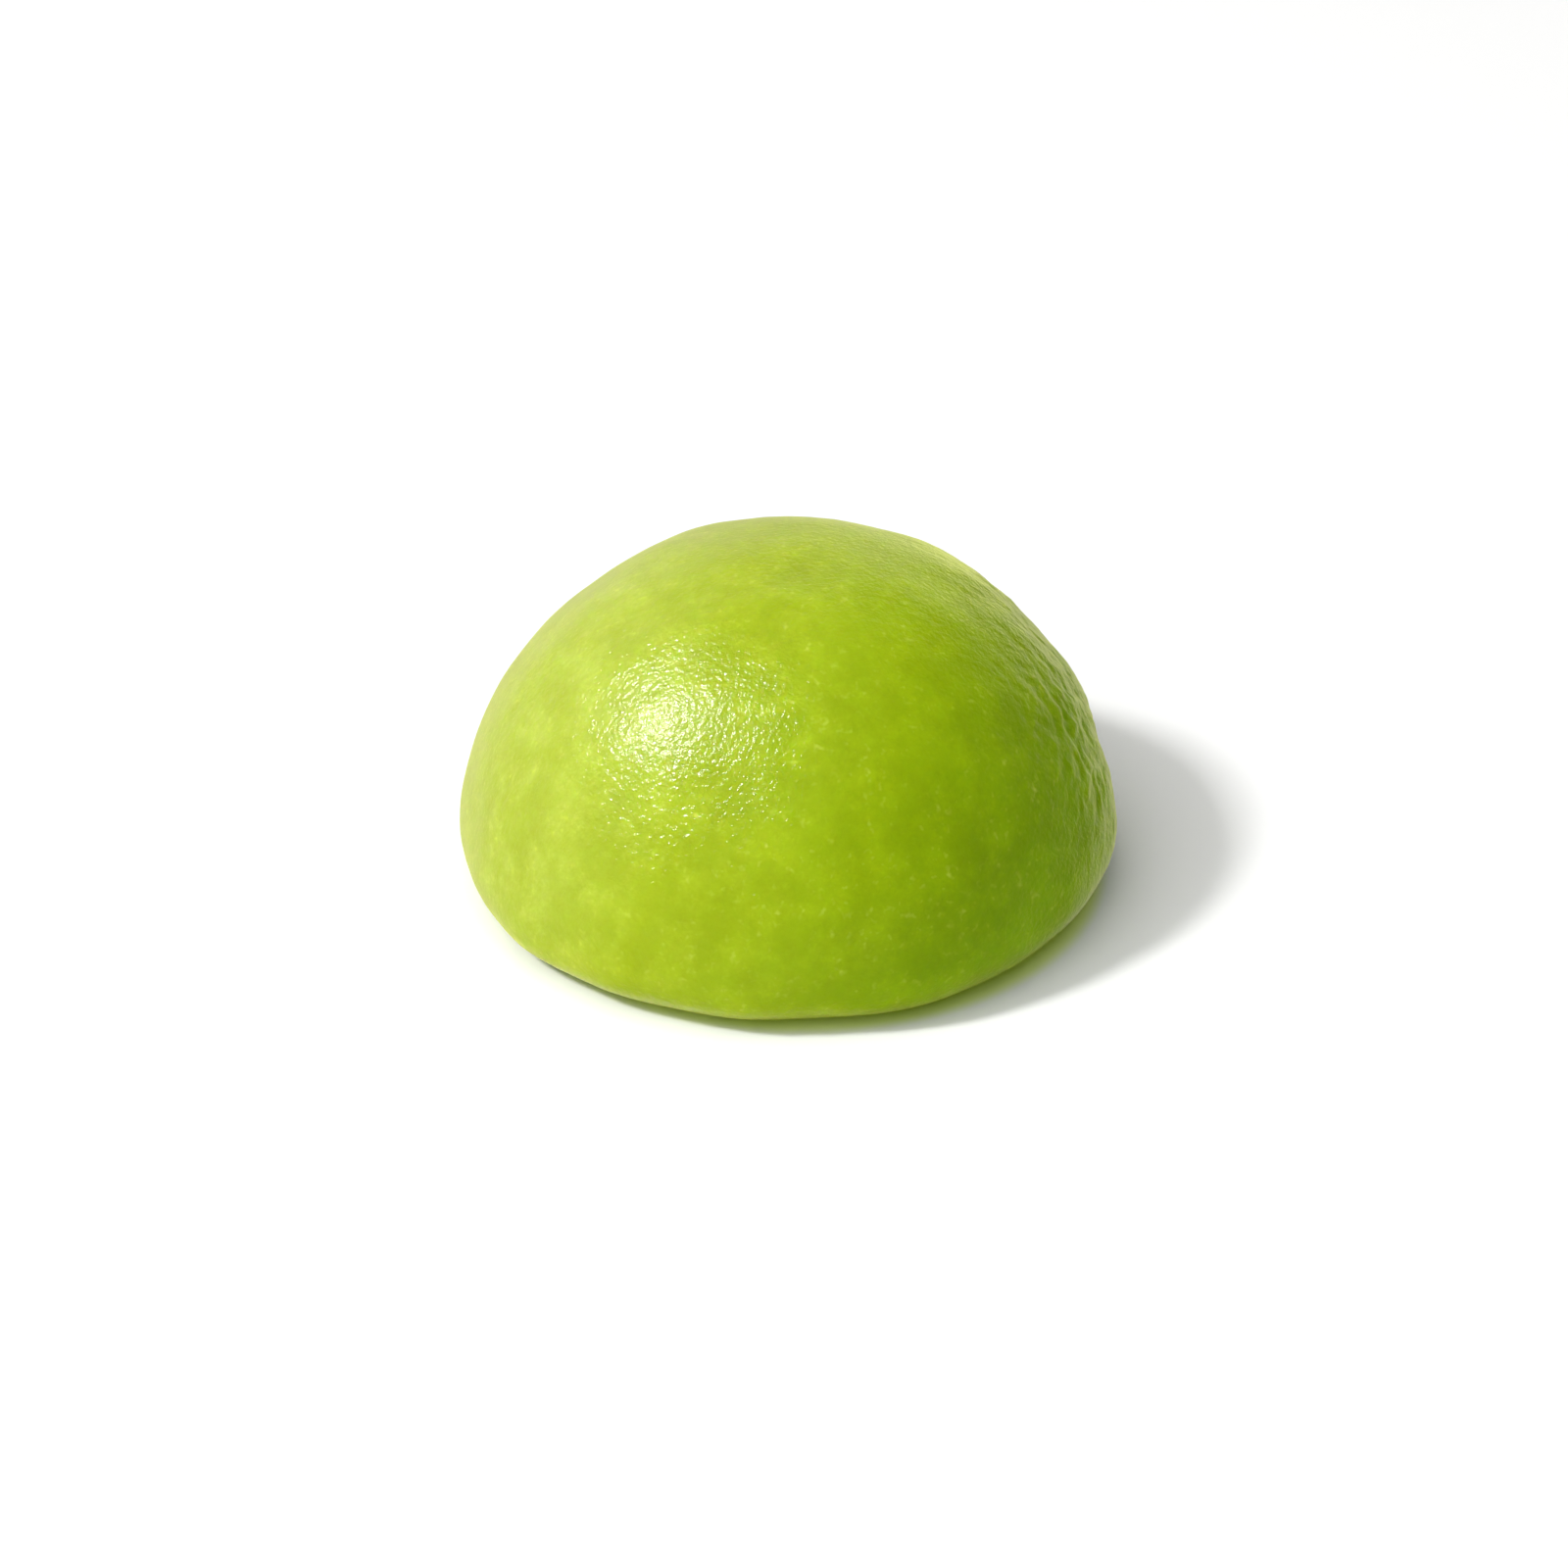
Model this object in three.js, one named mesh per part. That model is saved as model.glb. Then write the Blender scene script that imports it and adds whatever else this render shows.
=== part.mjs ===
// A mochi rice cake: a soft, low dome of steamed and pounded sweet rice dough,
// tinted yellow-green, set down on its own flat underside. It is one piece of dough,
// so the whole object is one closed solid. Millimetres, +Z up, the front faces -Y,
// and the origin is the middle of the underside, on the table.

import * as THREE from 'three';

// The dough ball, slumped under its own weight.
const WIDTH = 50;
const HEIGHT = 26.5;
const BELLY_HEIGHT = 4.8;
const FOOT_WIDTH = 39;

// How full each stretch of the outline is: 2 is an ellipse, more is squarer.
// The crown is broad and level, the sides lean in early, and the foot curls under.
const CROWN_FULLNESS = 2.36;
const SIDE_FULLNESS = 1.67;
const CURL_FULLNESS = 2.28;

// Faces: rings up the side and under the curl, and sectors round the axis.
const SIDE_RINGS = 27;
const CURL_RINGS = 8;
const SECTORS = 128;

// Broad swells and hollows left by the hand that shaped the ball. Each lies at an azimuth
// (degrees from +X, anticlockwise from above) and an elevation over the belly, fades over
// its spread (degrees), and stands out by its height, or sinks in where that is negative.
const SWELLS = [
  { name: 'right shoulder', azimuth: 44, elevation: 49, spread: 11, height: 0.27 },
  { name: 'right flank', azimuth: 13, elevation: 21, spread: 8, height: 0.33 },
  { name: 'right belly hollow', azimuth: 8, elevation: 11, spread: 6, height: -0.25 },
  { name: 'left shoulder hollow', azimuth: 147, elevation: 40, spread: 17, height: -0.21 },
  { name: 'left belly', azimuth: 180, elevation: 4, spread: 6, height: 0.17 },
  { name: 'front left foot', azimuth: 214, elevation: -6, spread: 14, height: 0.33 },
  { name: 'front right foot', azimuth: -37, elevation: -6, spread: 15, height: -0.32 },
  { name: 'front foot hollow', azimuth: 274, elevation: -8, spread: 8, height: -0.4 },
  { name: 'lit brow', azimuth: 226, elevation: 42, spread: 11, height: 0.16 },
  { name: 'hollow beside the brow', azimuth: 256, elevation: 36, spread: 8, height: -0.14 },
  { name: 'front middle', azimuth: 284, elevation: 20, spread: 12, height: 0.11 },
  { name: 'back left', azimuth: 118, elevation: 24, spread: 16, height: 0.2 },
  { name: 'back right hollow', azimuth: 66, elevation: 16, spread: 14, height: -0.2 },
];

// The foot line wanders in and out where the curl meets the table, in a few slow waves
// round the axis, and the wave dies away a little above the table.
const FOOT_WAVES = [
  { cycles: 7, phase: 1.7, height: 0.14 },
  { cycles: 12, phase: 2.1, height: 0.06 },
  { cycles: 19, phase: 4.4, height: 0.05 },
];
const FOOT_WAVE_REACH = 2.6;

// A faint unevenness runs through the whole skin: plane waves whose directions are spread
// evenly over a sphere, so that no direction shows.
const SKIN_WAVES = 14;
const SKIN_WAVE_LENGTH = 8.5;
const SKIN_WAVE_HEIGHT = 0.06;

const GOLDEN_ANGLE = Math.PI * (3 - Math.sqrt(5));
const QUARTER_TURN = Math.PI / 2;
const FULL_TURN = Math.PI * 2;

// The half outline from the middle of the underside, out under the curl, round the belly
// and up to the middle of the crown. Both curves are quarter superellipses.
function halfOutline() {
  const bellyRadius = WIDTH / 2;
  const footRadius = FOOT_WIDTH / 2;
  const points = [new THREE.Vector2(0, 0)];
  for (let ring = 0; ring < CURL_RINGS; ring += 1) {
    const turn = QUARTER_TURN * (1 - ring / CURL_RINGS);
    const out = Math.cos(turn) ** (2 / CURL_FULLNESS);
    const down = Math.sin(turn) ** (2 / CURL_FULLNESS);
    points.push(new THREE.Vector2(footRadius + (bellyRadius - footRadius) * out, BELLY_HEIGHT * (1 - down)));
  }
  for (let ring = 0; ring < SIDE_RINGS; ring += 1) {
    const turn = QUARTER_TURN * (ring / SIDE_RINGS);
    const out = Math.cos(turn) ** (2 / CROWN_FULLNESS);
    const up = Math.sin(turn) ** (2 / SIDE_FULLNESS);
    points.push(new THREE.Vector2(bellyRadius * out, BELLY_HEIGHT + (HEIGHT - BELLY_HEIGHT) * up));
  }
  points.push(new THREE.Vector2(0, HEIGHT));
  return points;
}

// The unit direction of a swell, seen from the middle of the belly plane.
function directionOf(azimuth, elevation) {
  const turn = THREE.MathUtils.degToRad(azimuth);
  const lift = THREE.MathUtils.degToRad(elevation);
  return new THREE.Vector3(Math.cos(turn) * Math.cos(lift), Math.sin(turn) * Math.cos(lift), Math.sin(lift));
}

function swellHeight(point) {
  const seen = new THREE.Vector3(point.x, point.y, point.z - BELLY_HEIGHT).normalize();
  let height = 0;
  for (const swell of SWELLS) {
    const apart = THREE.MathUtils.radToDeg(seen.angleTo(directionOf(swell.azimuth, swell.elevation)));
    height += swell.height * Math.exp(-((apart / swell.spread) ** 2));
  }
  return height;
}

function footWaveHeight(point) {
  const azimuth = Math.atan2(point.y, point.x);
  const nearness = Math.exp(-point.z / FOOT_WAVE_REACH);
  let height = 0;
  for (const wave of FOOT_WAVES) {
    height += wave.height * Math.sin(wave.cycles * azimuth + wave.phase);
  }
  return height * nearness;
}

function skinWaveHeight(point) {
  let height = 0;
  for (let wave = 0; wave < SKIN_WAVES; wave += 1) {
    const rise = 1 - (2 * wave + 1) / SKIN_WAVES;
    const flat = Math.sqrt(1 - rise * rise);
    const turn = wave * GOLDEN_ANGLE;
    const along = point.x * flat * Math.cos(turn) + point.y * flat * Math.sin(turn) + point.z * rise;
    const length = SKIN_WAVE_LENGTH * (1 + 0.3 * Math.sin(wave * 1.7));
    height += Math.sin((FULL_TURN * along) / length + wave * wave);
  }
  return (SKIN_WAVE_HEIGHT * height) / Math.sqrt(SKIN_WAVES / 2);
}

// Push each point of the turned dome out or in. Above the belly it moves away from the
// middle of the belly plane, and below it only sideways, so that the underside stays flat.
function shapeByHand(geometry) {
  const position = geometry.getAttribute('position');
  const point = new THREE.Vector3();
  const outward = new THREE.Vector3();
  for (let index = 0; index < position.count; index += 1) {
    point.fromBufferAttribute(position, index);
    outward.set(point.x, point.y, Math.max(point.z - BELLY_HEIGHT, 0));
    if (outward.length() > FOOT_WIDTH / 4) {
      const push = swellHeight(point) + footWaveHeight(point) + skinWaveHeight(point);
      point.addScaledVector(outward.normalize(), push);
      position.setXYZ(index, point.x, point.y, point.z);
    }
  }
}

function makeDough() {
  const geometry = new THREE.LatheGeometry(halfOutline(), SECTORS);
  geometry.rotateX(QUARTER_TURN);
  shapeByHand(geometry);
  geometry.computeVertexNormals();
  const dough = new THREE.MeshStandardMaterial({ color: 0xaac83a, roughness: 0.38, metalness: 0 });
  const mesh = new THREE.Mesh(geometry, dough);
  mesh.name = 'mochi';
  return mesh;
}

const riceCake = new THREE.Group();
riceCake.add(makeDough());

export default riceCake;
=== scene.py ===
import math
import bmesh
import bpy
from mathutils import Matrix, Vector, noise


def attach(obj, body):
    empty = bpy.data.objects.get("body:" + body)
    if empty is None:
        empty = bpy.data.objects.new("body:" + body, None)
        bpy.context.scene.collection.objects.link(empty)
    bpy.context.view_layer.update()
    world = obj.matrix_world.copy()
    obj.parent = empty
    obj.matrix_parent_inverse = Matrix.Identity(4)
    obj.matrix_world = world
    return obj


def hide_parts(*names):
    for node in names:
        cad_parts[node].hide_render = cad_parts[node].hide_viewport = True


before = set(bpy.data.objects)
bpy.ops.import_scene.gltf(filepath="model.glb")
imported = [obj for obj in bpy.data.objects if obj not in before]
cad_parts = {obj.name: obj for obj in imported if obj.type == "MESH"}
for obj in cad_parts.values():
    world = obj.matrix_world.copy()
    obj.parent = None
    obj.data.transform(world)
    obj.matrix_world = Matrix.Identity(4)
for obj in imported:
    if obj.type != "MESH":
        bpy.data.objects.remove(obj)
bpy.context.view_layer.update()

# The dough: one ball of steamed and pounded sweet rice dough, tinted yellow-green.
# It was rolled between wet palms, set down on its seam and left to slump, so the crown is
# broad, the belly hangs over the foot, and the skin is moist and faintly wrinkled.

# Sizes are in millimetres while the ball is shaped, and the mesh is brought to metres last.
WIDTH = 50
HEIGHT = 26.5
BELLY_HEIGHT = 4.8
FOOT_WIDTH = 39
CROWN_FULLNESS = 2.36
SIDE_FULLNESS = 1.67
CURL_FULLNESS = 2.28
METRES_IN_A_MILLIMETRE = 0.001

# The ball is bent from an open box. These are the cuts along a side of the box, the level
# above which a point belongs to its upper face, and the shares of the half outline that
# become the crown and the curl under the belly.
FACE_CUTS = 133
BOX_SIZE = 2
UPPER_FACE_LEVEL = 0.9999
CROWN_SHARE = 0.43
CURL_SHARE = 0.15
QUARTER_TURN = math.pi / 2
EIGHTH_TURN = math.pi / 4

# Broad swells and hollows from the hand: azimuth, elevation over the belly and spread in
# degrees, and height in millimetres.
SWELLS = {
    "right shoulder": (44, 49, 11, 0.27),
    "right flank": (13, 21, 8, 0.33),
    "right belly hollow": (8, 11, 6, -0.25),
    "left shoulder hollow": (147, 40, 17, -0.21),
    "left belly": (180, 4, 6, 0.17),
    "front left foot": (214, -6, 14, 0.33),
    "front right foot hollow": (-37, -6, 15, -0.32),
    "front foot hollow": (274, -8, 8, -0.40),
    "lit brow": (226, 42, 11, 0.16),
    "hollow beside the brow": (256, 36, 8, -0.14),
    "front middle": (284, 20, 12, 0.11),
    "back left": (118, 24, 16, 0.20),
    "back right hollow": (66, 16, 14, -0.20),
}

# The foot line wanders in slow waves round the axis: cycles, phase and height of each, and
# the height above the table over which they fade.
FOOT_WAVES = [(7, 1.7, 0.14), (12, 2.1, 0.06), (19, 4.4, 0.05)]
FOOT_WAVE_REACH = 2.6

# Slow waves cross the whole skin in evenly spread directions. Their lengths differ by up to
# the given share, in steps that don't repeat.
SKIN_WAVES = 14
SKIN_WAVE_LENGTH = 8.5
SKIN_WAVE_HEIGHT = 0.06
SKIN_WAVE_SPREAD = 0.3
SKIN_WAVE_STEP = 1.7
GOLDEN_ANGLE = math.pi * (3 - math.sqrt(5))

# Finer unevenness of the skin: the size of its lumps, how far they stand out, and how many
# layers of lumps there are. Each layer is half the size of the last, and weaker by the fade.
LAYER_RATIO = 2
SKIN_FADE = 1
DIMPLE_SIZE = 2.6
DIMPLE_HEIGHT = 0.035
DIMPLE_LAYERS = 2
WRINKLE_SIZE = 1.1
WRINKLE_HEIGHT = 0.012
WRINKLE_LAYERS = 1
WRINKLE_START = Vector((7, 3, 5))

# Where the palms dragged the skin it has short creases, which run in arcs round the front:
# how wide and how long a crease is, how far and how often it bends, and the azimuth,
# elevation, spread and height of each creased patch.
CREASE_POLE = (270, 31)
CREASE_WIDTH = 1.25
CREASE_LENGTH = 2.2
CREASE_BEND = 0.8
CREASE_BEND_SIZE = 2.5
CREASE_START = 4
CREASE_FADE = 0.7
CREASE_LAYERS = 2
CREASES = {
    "right flank": (352, 23, 20, 0.24),
    "right shoulder": (26, 43, 15, 0.10),
    "left flank": (199, 30, 9, 0.04),
}


def unit_direction(azimuth, elevation):
    turn = math.radians(azimuth)
    lift = math.radians(elevation)
    return Vector((math.cos(turn) * math.cos(lift), math.sin(turn) * math.cos(lift), math.sin(lift)))


def lobes_of(patches):
    return [(unit_direction(azimuth, elevation), math.radians(spread), height)
            for azimuth, elevation, spread, height in patches.values()]


SWELL_LOBES = lobes_of(SWELLS)
CREASE_LOBES = lobes_of(CREASES)
CREASE_AXIS = unit_direction(*CREASE_POLE)
CREASE_SIDE = Vector((1, 0, 0))
CREASE_UP = CREASE_SIDE.cross(CREASE_AXIS)


def outline_point(share):
    """Radius and level on the half outline, from the foot (share 0) to the crown (share 1)."""
    belly = WIDTH / 2
    foot = FOOT_WIDTH / 2
    if share < CURL_SHARE:
        turn = QUARTER_TURN * (1 - share / CURL_SHARE)
        radius = foot + (belly - foot) * math.cos(turn) ** (2 / CURL_FULLNESS)
        return radius, BELLY_HEIGHT * (1 - math.sin(turn) ** (2 / CURL_FULLNESS))
    turn = min(QUARTER_TURN * (share - CURL_SHARE) / (1 - CURL_SHARE), QUARTER_TURN)
    radius = belly * max(math.cos(turn), 0) ** (2 / CROWN_FULLNESS)
    return radius, BELLY_HEIGHT + (HEIGHT - BELLY_HEIGHT) * math.sin(turn) ** (2 / SIDE_FULLNESS)


def square_azimuth(x, y):
    """Azimuth of a point on a square ring, spread evenly along the ring's sides."""
    if abs(x) >= abs(y):
        return EIGHTH_TURN * y / x + (0 if x > 0 else math.pi) if x else 0
    return QUARTER_TURN - EIGHTH_TURN * x / y + (0 if y > 0 else math.pi)


def seen_from_belly(point):
    """Direction of a point from the middle of the cake at the belly's level."""
    return (point - Vector((0, 0, BELLY_HEIGHT))).normalized()


def angle_between(one, other):
    return math.acos(max(-1, min(1, one.dot(other))))


def lobe_height(point, lobes):
    seen = seen_from_belly(point)
    total = 0
    for direction, spread, height in lobes:
        total += height * math.exp(-((angle_between(seen, direction) / spread) ** 2))
    return total


def foot_wave_height(point):
    azimuth = math.atan2(point.y, point.x)
    nearness = math.exp(-point.z / FOOT_WAVE_REACH)
    return nearness * sum(height * math.sin(cycles * azimuth + phase) for cycles, phase, height in FOOT_WAVES)


def skin_wave_height(point):
    total = 0
    for wave in range(SKIN_WAVES):
        rise = 1 - (2 * wave + 1) / SKIN_WAVES
        flat = math.sqrt(1 - rise * rise)
        turn = wave * GOLDEN_ANGLE
        along = point.x * flat * math.cos(turn) + point.y * flat * math.sin(turn) + point.z * rise
        length = SKIN_WAVE_LENGTH * (1 + SKIN_WAVE_SPREAD * math.sin(wave * SKIN_WAVE_STEP))
        total += math.sin(2 * math.pi * along / length + wave * wave)
    return SKIN_WAVE_HEIGHT * total / math.sqrt(SKIN_WAVES / 2)


def crease_pattern(point):
    """Noise that is stretched along the arcs round the crease pole."""
    seen = seen_from_belly(point)
    from_pole = angle_between(seen, CREASE_AXIS) * WIDTH / 2
    round_pole = math.atan2(seen.dot(CREASE_UP), seen.dot(CREASE_SIDE)) * WIDTH / 2
    bend = CREASE_BEND * noise.noise(point / CREASE_BEND_SIZE)
    place = Vector(((from_pole + bend) / CREASE_WIDTH, round_pole / CREASE_LENGTH, CREASE_START))
    return noise.fractal(place, CREASE_FADE, LAYER_RATIO, CREASE_LAYERS)


def fine_relief(point):
    dimple = noise.fractal(point / DIMPLE_SIZE, SKIN_FADE, LAYER_RATIO, DIMPLE_LAYERS)
    wrinkle = noise.fractal(point / WRINKLE_SIZE + WRINKLE_START, SKIN_FADE, LAYER_RATIO, WRINKLE_LAYERS)
    crease = lobe_height(point, CREASE_LOBES) * crease_pattern(point)
    return DIMPLE_HEIGHT * dimple + WRINKLE_HEIGHT * wrinkle + crease


def shape_dough(bm):
    """Bend the open box into the dome: its side faces become the curl and the sides, and
    its upper face the crown. Then push every point by the swells and the relief."""
    for vertex in bm.verts:
        x, y, z = vertex.co
        if z > UPPER_FACE_LEVEL:
            share = 1 - CROWN_SHARE * max(abs(x), abs(y))
        else:
            share = (1 - CROWN_SHARE) * (z + 1) / BOX_SIZE
        radius, level = outline_point(share)
        azimuth = square_azimuth(x, y)
        point = Vector((radius * math.cos(azimuth), radius * math.sin(azimuth), level))
        outward = Vector((point.x, point.y, max(point.z - BELLY_HEIGHT, 0))).normalized()
        push = lobe_height(point, SWELL_LOBES) + foot_wave_height(point) + skin_wave_height(point)
        vertex.co = point + outward * (push + fine_relief(point))
        if share == 0:
            vertex.co.z = 0


def close_underside(bm):
    """Fill the foot loop with a flat disc, poked at its middle."""
    foot_loop = [edge for edge in bm.edges if edge.is_boundary]
    bmesh.ops.contextual_create(bm, geom=foot_loop)
    disc = max(bm.faces, key=lambda face: len(face.verts))
    bmesh.ops.poke(bm, faces=[disc])


def add_object(name, bm, material):
    """Turn a bmesh into an object at the origin, with one material."""
    mesh = bpy.data.meshes.new(name)
    bm.to_mesh(mesh)
    bm.free()
    mesh.materials.append(material)
    thing = bpy.data.objects.new(name, mesh)
    bpy.context.scene.collection.objects.link(thing)
    return thing


def make_dough(material):
    bm = bmesh.new()
    bmesh.ops.create_cube(bm, size=BOX_SIZE)
    lower_face = min(bm.faces, key=lambda face: face.calc_center_median().z)
    bmesh.ops.delete(bm, geom=[lower_face], context="FACES_ONLY")
    bmesh.ops.subdivide_edges(bm, edges=bm.edges, cuts=FACE_CUTS, use_grid_fill=True)
    shape_dough(bm)
    close_underside(bm)
    bmesh.ops.scale(bm, vec=(METRES_IN_A_MILLIMETRE,) * 3, verts=bm.verts)
    bmesh.ops.recalc_face_normals(bm, faces=bm.faces)
    for face in bm.faces:
        face.smooth = True
    return add_object("mochi_dough", bm, material)


# The colours inside the dough, with sizes in metres. A pattern's range is the part of the
# noise, from 0 to 1, over which it comes in, and its least share is what is left outside it.
CLOUD_SIZE = 0.0040
CLOUD_COLOURS = {0.32: (0.336, 0.407, 0.031, 1), 0.70: (0.400, 0.487, 0.058, 1)}
WISP_SIZE = 0.00075
WISP_RANGE = (0.48, 0.75)
WISP_LEAST_SHARE = 0.4
WISP_TINT = (1.33, 1.27, 2.0, 1)
CLUSTER_SIZE = 0.0034
CLUSTER_RANGE = (0.44, 0.62)
CLUSTER_LEAST_SHARE = 0.05
GRAIN_SIZE = 0.0006
GRAIN_RANGE = (0.60, 0.92)
GRAIN_COLOUR = (0.58, 0.66, 0.08, 1)

# Painted shade: the colour darkens and turns greener across the ball from the lit left to the shaded right,
# away from the key lamp: the way it lies, the places along it in metres where it starts and ends, and its
# colours by the share of that way.
PAINTED_SHADE_DIRECTION = Vector((0.95, -0.1, -0.3)).normalized()
PAINTED_SHADE_RANGE = (-0.020, 0.017)
PAINTED_SHADE_TINTS = {
    0: (1, 1, 1, 1),
    0.25: (0.90, 0.94, 0.27, 1),
    0.62: (0.77, 0.90, 0.05, 1),
    0.78: (0.62, 0.79, 0.01, 1),
    1: (0.55, 0.78, 0.02, 1),
}

# The wet film is wrinkled more strongly than the dough under it, both depths in metres.
FILM_WRINKLE_SIZE = 0.00042
FILM_WRINKLE_DEPTH = 0.00016
SKIN_WRINKLE_DEPTH = 0.00006


def put(tree, value, socket):
    """Link an output to a socket, or set the socket to a plain value."""
    if isinstance(value, bpy.types.NodeSocket):
        tree.links.new(value, socket)
    else:
        socket.default_value = value


def add_measure(tree, coordinate, operation, fixed):
    """Each place's dot product with a fixed vector, or its distance from it."""
    place = tree.nodes.new("ShaderNodeTexCoord")
    measure = tree.nodes.new("ShaderNodeVectorMath")
    measure.operation = operation
    put(tree, place.outputs[coordinate], measure.inputs[0])
    put(tree, fixed, measure.inputs[1])
    return measure.outputs["Value"]


def add_noise(tree, size, detail, roughness=0.5, distortion=0):
    place = tree.nodes.new("ShaderNodeTexCoord")
    pattern = tree.nodes.new("ShaderNodeTexNoise")
    put(tree, place.outputs["Object"], pattern.inputs["Vector"])
    put(tree, 1 / size, pattern.inputs["Scale"])
    put(tree, detail, pattern.inputs["Detail"])
    put(tree, roughness, pattern.inputs["Roughness"])
    put(tree, distortion, pattern.inputs["Distortion"])
    return pattern.outputs["Fac"]


def add_range(tree, value, start_end, low=0, high=1, interpolation="LINEAR"):
    """Spread the range from start to end over low to high, and hold it beyond them."""
    spread = tree.nodes.new("ShaderNodeMapRange")
    spread.interpolation_type = interpolation
    put(tree, value, spread.inputs["Value"])
    put(tree, start_end[0], spread.inputs["From Min"])
    put(tree, start_end[1], spread.inputs["From Max"])
    put(tree, low, spread.inputs["To Min"])
    put(tree, high, spread.inputs["To Max"])
    return spread.outputs["Result"]


def add_product(tree, one, other):
    product = tree.nodes.new("ShaderNodeMath")
    product.operation = "MULTIPLY"
    put(tree, one, product.inputs[0])
    put(tree, other, product.inputs[1])
    return product.outputs["Value"]


def add_ramp(tree, value, colours):
    """A colour ramp from a table of colours by their place on it."""
    ramp = tree.nodes.new("ShaderNodeValToRGB")
    stops = ramp.color_ramp.elements
    positions = list(colours)
    stops[0].position = positions[0]
    stops[1].position = positions[-1]
    for position in positions[1:-1]:
        stops.new(position)
    for stop, colour in zip(stops, colours.values()):
        stop.color = colour
    put(tree, value, ramp.inputs["Fac"])
    return ramp.outputs["Color"]


def add_mix(tree, base, tint, share, blend="MIX"):
    mix = tree.nodes.new("ShaderNodeMix")
    mix.data_type = "RGBA"
    mix.blend_type = blend
    put(tree, base, mix.inputs["A"])
    put(tree, tint, mix.inputs["B"])
    put(tree, share, mix.inputs["Factor"])
    return mix.outputs["Result"]


def add_bump(tree, pattern, depth):
    bump = tree.nodes.new("ShaderNodeBump")
    put(tree, 1, bump.inputs["Strength"])
    put(tree, depth, bump.inputs["Distance"])
    put(tree, pattern, bump.inputs["Height"])
    return bump.outputs["Normal"]


def dough_colour(tree):
    """Cloudy green with painted shade that darkens and greens it towards the shaded right, away from the
    lamp, with pale wisps and grains near the skin that gather in clusters."""
    clouds = add_noise(tree, CLOUD_SIZE, detail=5, roughness=0.8)
    # Painted shade: the colour is multiplied darker and greener towards the right, the side away from the key
    # lamp.
    across = add_measure(tree, "Object", "DOT_PRODUCT", PAINTED_SHADE_DIRECTION)
    painted_shade = add_ramp(tree, add_range(tree, across, PAINTED_SHADE_RANGE), PAINTED_SHADE_TINTS)
    dough = add_mix(tree, add_ramp(tree, clouds, CLOUD_COLOURS), painted_shade, 1, "MULTIPLY")
    clusters = add_noise(tree, CLUSTER_SIZE, detail=4, roughness=0.7)
    gathered = add_range(tree, clusters, CLUSTER_RANGE, CLUSTER_LEAST_SHARE)
    wisps = add_noise(tree, WISP_SIZE, detail=4, roughness=0.65, distortion=1.2)
    wisp_share = add_product(tree, add_range(tree, wisps, WISP_RANGE, WISP_LEAST_SHARE), gathered)
    wispy = add_mix(tree, dough, WISP_TINT, wisp_share, "MULTIPLY")
    grains = add_noise(tree, GRAIN_SIZE, detail=1)
    grain_share = add_product(tree, add_range(tree, grains, GRAIN_RANGE), gathered)
    return add_mix(tree, wispy, GRAIN_COLOUR, grain_share)


def dough_material():
    """Moist rice dough that light sinks into, under a thin wet film."""
    material = bpy.data.materials.new("mochi_dough")
    material.use_nodes = True
    tree = material.node_tree
    shader = tree.nodes["Principled BSDF"]
    put(tree, dough_colour(tree), shader.inputs["Base Color"])
    film = add_noise(tree, FILM_WRINKLE_SIZE, detail=2, distortion=0.15)
    put(tree, add_bump(tree, film, FILM_WRINKLE_DEPTH), shader.inputs["Coat Normal"])
    put(tree, add_bump(tree, film, SKIN_WRINKLE_DEPTH), shader.inputs["Normal"])
    shader.inputs["Roughness"].default_value = 0.38
    shader.inputs["IOR"].default_value = 1.4
    shader.inputs["Specular IOR Level"].default_value = 0.15
    shader.inputs["Subsurface Weight"].default_value = 0.9
    shader.inputs["Subsurface Radius"].default_value = (0.6, 1.0, 0.12)
    shader.inputs["Subsurface Scale"].default_value = 0.010
    shader.inputs["Coat Weight"].default_value = 1
    shader.inputs["Coat Roughness"].default_value = 0.21
    shader.inputs["Coat IOR"].default_value = 1.33
    shader.inputs["Sheen Weight"].default_value = 0.5
    shader.inputs["Sheen Roughness"].default_value = 0.4
    shader.inputs["Sheen Tint"].default_value = (0.95, 1, 0.15, 1)
    return material


dough = make_dough(dough_material())
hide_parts("mochi")
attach(dough, "root")

# The table: a plain near-white matte surface, level under the foot. Under the belly, where the
# lamp's white light doesn't reach, its colour has painted shade, darker and green-tinted, and it has
# a painted green glow standing in for light come through the dough, a little to the right, away from the
# lamp.
FLOOR_RADIUS = 1.5
FLOOR_SIDES = 96
FLOOR_COLOUR = (0.9, 0.9, 0.9, 1)
GLOW_MIDDLE = (0.0010, 0, 0)
GLOW_REACH = 0.0238
GLOW_FULL = 0.0224
PAINTED_GLOW_COLOUR = (0.050, 0.066, 0, 1)
PAINTED_SHADE_FLOOR_COLOUR = (0.74, 0.79, 0.42, 1)
BLACK = (0, 0, 0, 1)


def floor_material():
    material = bpy.data.materials.new("floor")
    material.use_nodes = True
    tree = material.node_tree
    shader = tree.nodes["Principled BSDF"]
    # Painted shade and a painted green glow in a round patch under the belly: the floor is tinted darker and
    # green and given emission there.
    distance = add_measure(tree, "Object", "DISTANCE", GLOW_MIDDLE)
    nearness = add_range(tree, distance, (GLOW_REACH, GLOW_FULL), interpolation="SMOOTHSTEP")
    colour = add_mix(tree, FLOOR_COLOUR, PAINTED_SHADE_FLOOR_COLOUR, nearness)
    put(tree, colour, shader.inputs["Base Color"])
    put(tree, add_mix(tree, BLACK, PAINTED_GLOW_COLOUR, nearness), shader.inputs["Emission Color"])
    shader.inputs["Emission Strength"].default_value = 1
    shader.inputs["Roughness"].default_value = 0.9
    shader.inputs["Specular IOR Level"].default_value = 0.1
    return material


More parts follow.
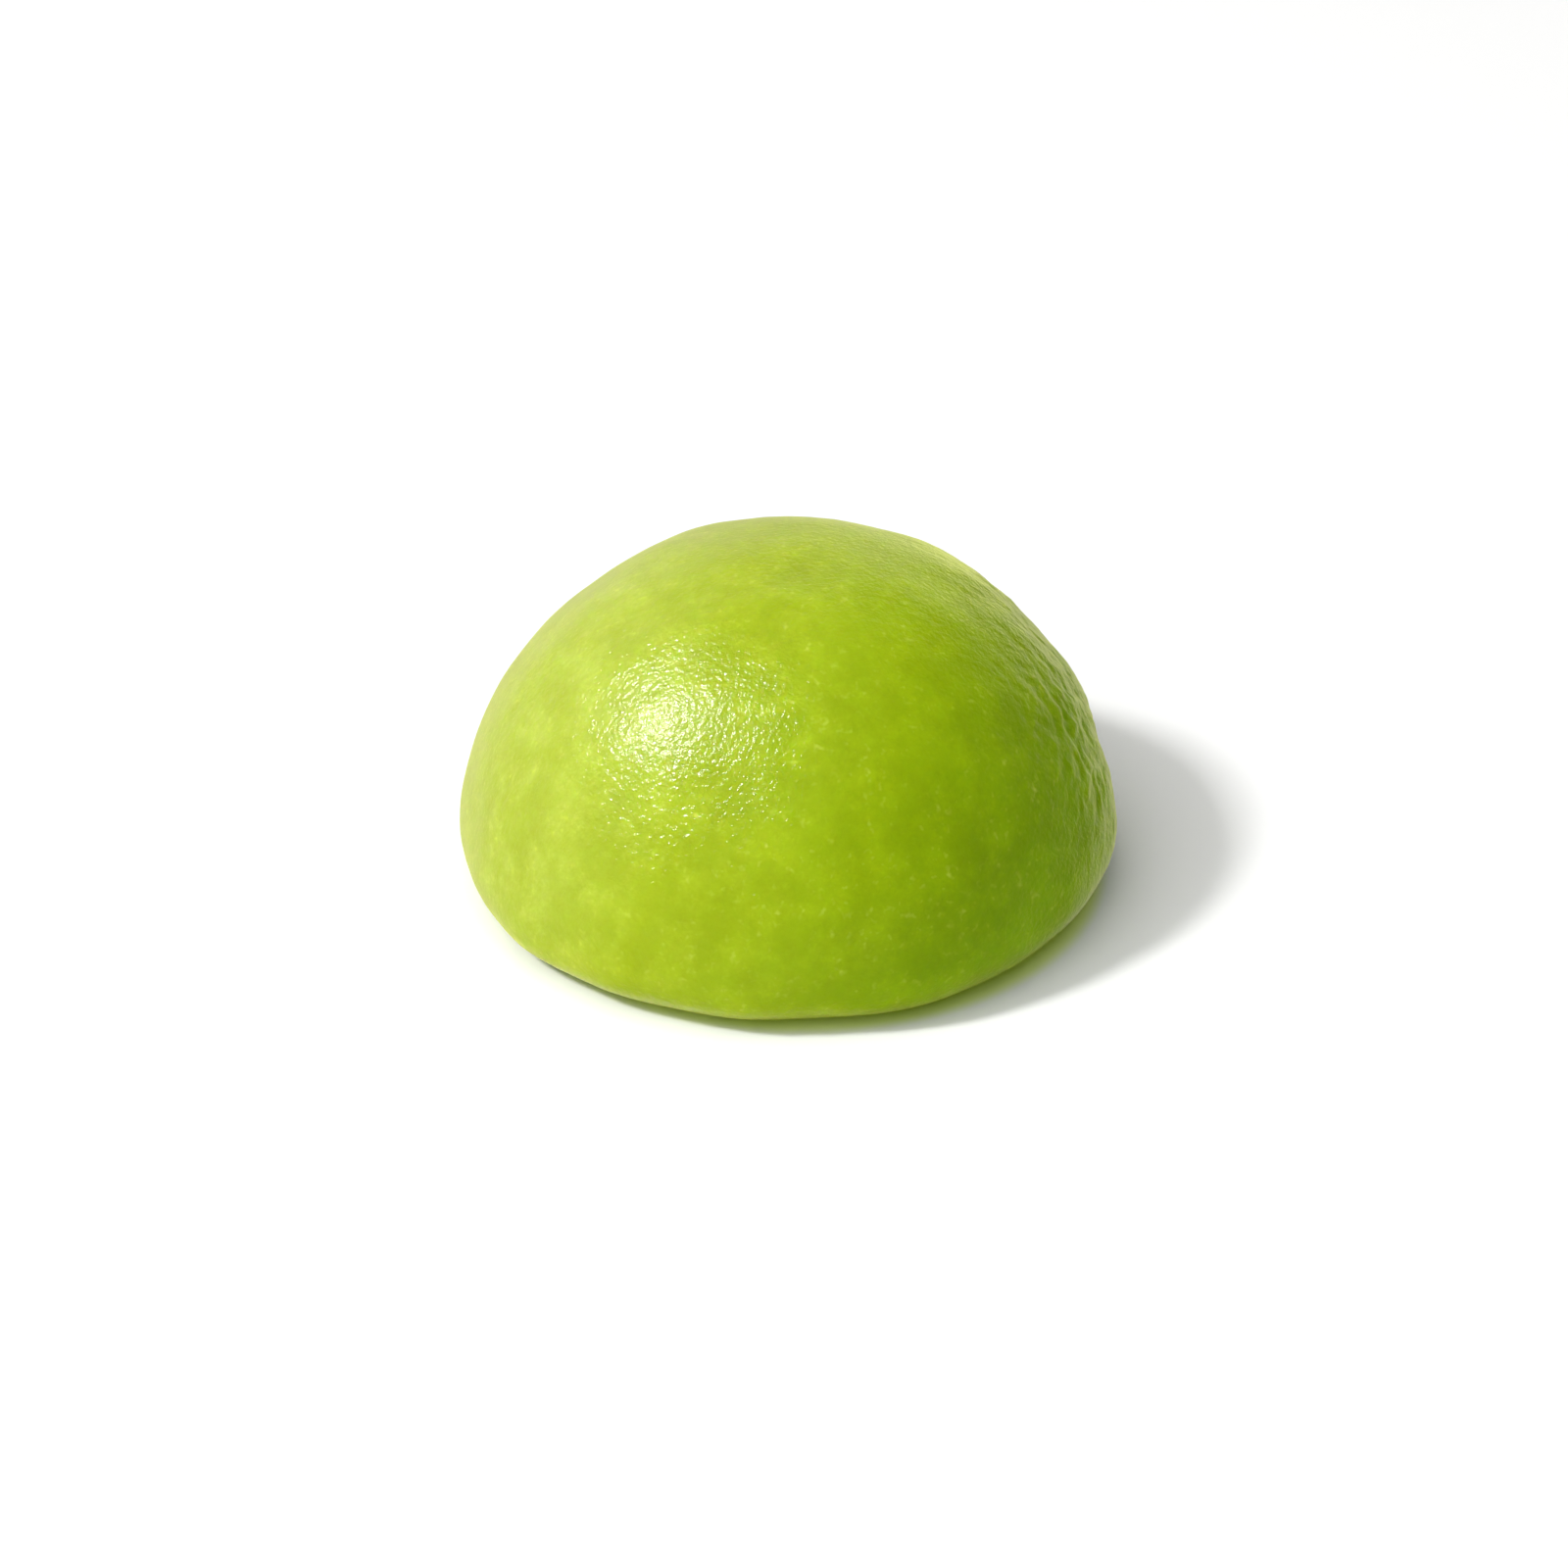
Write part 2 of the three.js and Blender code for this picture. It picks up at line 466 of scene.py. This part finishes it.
def make_floor(name, radius, hole_radius, material):
    """A round floor, or a ring of it round a hole, facing up."""
    bm = bmesh.new()
    bmesh.ops.create_circle(bm, segments=FLOOR_SIDES, radius=radius, cap_ends=hole_radius == 0)
    if hole_radius:
        bmesh.ops.create_circle(bm, segments=FLOOR_SIDES, radius=hole_radius)
        bmesh.ops.bridge_loops(bm, edges=bm.edges[:])
    bm.normal_update()
    bmesh.ops.reverse_faces(bm, faces=[face for face in bm.faces if face.normal.z < 0])
    return add_object(name, bm, material)


# The gloss would show the bright open table as a pale band low on the sides, so the floor is
# in two pieces and only the small one, under the belly, is seen in the gloss.
table_finish = floor_material()
open_floor = make_floor("floor", FLOOR_RADIUS, GLOW_REACH, table_finish)
open_floor.visible_glossy = False
floor_below = make_floor("floor_below", GLOW_REACH, 0, table_finish)

# The light: a key lamp high on the left casts the shadow, and a soft box near it is seen
# only in the gloss, as the blurred highlight. A wide soft fill, higher and more to the front,
# isn't seen in the gloss. The room is nearly dark but for a pale side, low behind the cake.
KEY_AZIMUTH = 200.7
KEY_ELEVATION = 47.4
KEY_DISTANCE = 2.0
KEY_ANGLES = (7, 8)
KEY_POWER = 27.5
SOFTBOX_AZIMUTH = 187.5
SOFTBOX_ELEVATION = 53
SOFTBOX_DISTANCE = 2.0
SOFTBOX_ANGLES = (10, 13)
SOFTBOX_POWER = 76
FILL_AZIMUTH = 236
FILL_ELEVATION = 64
FILL_DISTANCE = 1.0
FILL_SIDES = (1.6, 1.6)
FILL_POWER = 14
ROOM_PALE_SIDE = Vector((-0.1, 0.95, -0.2)).normalized()
ROOM_PALE_RANGE = (0.5, 0.9)
ROOM_LIGHT = 0.65
ROOM_DARK = 0.02
ROOM_COLOUR = (1, 0.98, 0.78, 1)


def sides_at(distance, angles):
    """Width and length of a lamp that is seen from the cake under these angles."""
    return [2 * distance * math.tan(math.radians(angle / 2)) for angle in angles]


def make_lamp(name, azimuth, elevation, distance, sides, power):
    light = bpy.data.lights.new(name, "AREA")
    light.shape = "RECTANGLE"
    light.size, light.size_y = sides
    light.energy = power
    lamp = bpy.data.objects.new(name, light)
    lamp.location = unit_direction(azimuth, elevation) * distance
    lamp.rotation_euler = lamp.location.to_track_quat("Z", "Y").to_euler()
    bpy.context.scene.collection.objects.link(lamp)
    return lamp


def make_room():
    world = bpy.data.worlds.new("room")
    world.use_nodes = True
    tree = world.node_tree
    background = tree.nodes["Background"]
    toward = add_measure(tree, "Generated", "DOT_PRODUCT", ROOM_PALE_SIDE)
    strength = add_range(tree, toward, ROOM_PALE_RANGE, ROOM_DARK, ROOM_LIGHT, "SMOOTHSTEP")
    put(tree, strength, background.inputs["Strength"])
    put(tree, ROOM_COLOUR, background.inputs["Color"])
    bpy.context.scene.world = world


key_sides = sides_at(KEY_DISTANCE, KEY_ANGLES)
key = make_lamp("key", KEY_AZIMUTH, KEY_ELEVATION, KEY_DISTANCE, key_sides, KEY_POWER)
key.visible_glossy = False
softbox_sides = sides_at(SOFTBOX_DISTANCE, SOFTBOX_ANGLES)
softbox = make_lamp(
    "softbox", SOFTBOX_AZIMUTH, SOFTBOX_ELEVATION, SOFTBOX_DISTANCE, softbox_sides, SOFTBOX_POWER
)
softbox.visible_diffuse = False
fill = make_lamp("fill", FILL_AZIMUTH, FILL_ELEVATION, FILL_DISTANCE, FILL_SIDES, FILL_POWER)
fill.visible_glossy = False
make_room()

# The camera: a long lens, looking down on the front of the cake. The last two values are the
# pixel of the picture where the middle of the cake's underside lies.
CAMERA_ELEVATION = 31
CAMERA_DISTANCE = 0.5025
CAMERA_REACH = (0.01, 20)
LENS = 150
SENSOR = 36
PICTURE_SIDE = 1600
BASE_MIDDLE_X = 803.9
BASE_MIDDLE_Y = 884.7


def make_camera():
    data = bpy.data.cameras.new("camera")
    data.lens = LENS
    data.sensor_width = SENSOR
    data.clip_start, data.clip_end = CAMERA_REACH
    camera = bpy.data.objects.new("camera", data)
    lift = math.radians(CAMERA_ELEVATION)
    back = Vector((0, -math.cos(lift), math.sin(lift)))
    up = Vector((0, math.sin(lift), math.cos(lift)))
    metres_in_a_pixel = CAMERA_DISTANCE * SENSOR / LENS / PICTURE_SIDE
    side = Vector((PICTURE_SIDE / 2 - BASE_MIDDLE_X, 0, 0)) * metres_in_a_pixel
    rise = up * (BASE_MIDDLE_Y - PICTURE_SIDE / 2) * metres_in_a_pixel
    camera.location = back * CAMERA_DISTANCE + side + rise
    camera.rotation_euler = back.to_track_quat("Z", "Y").to_euler()
    bpy.context.scene.collection.objects.link(camera)
    bpy.context.scene.camera = camera


make_camera()
bpy.context.scene.view_settings.view_transform = "Standard"
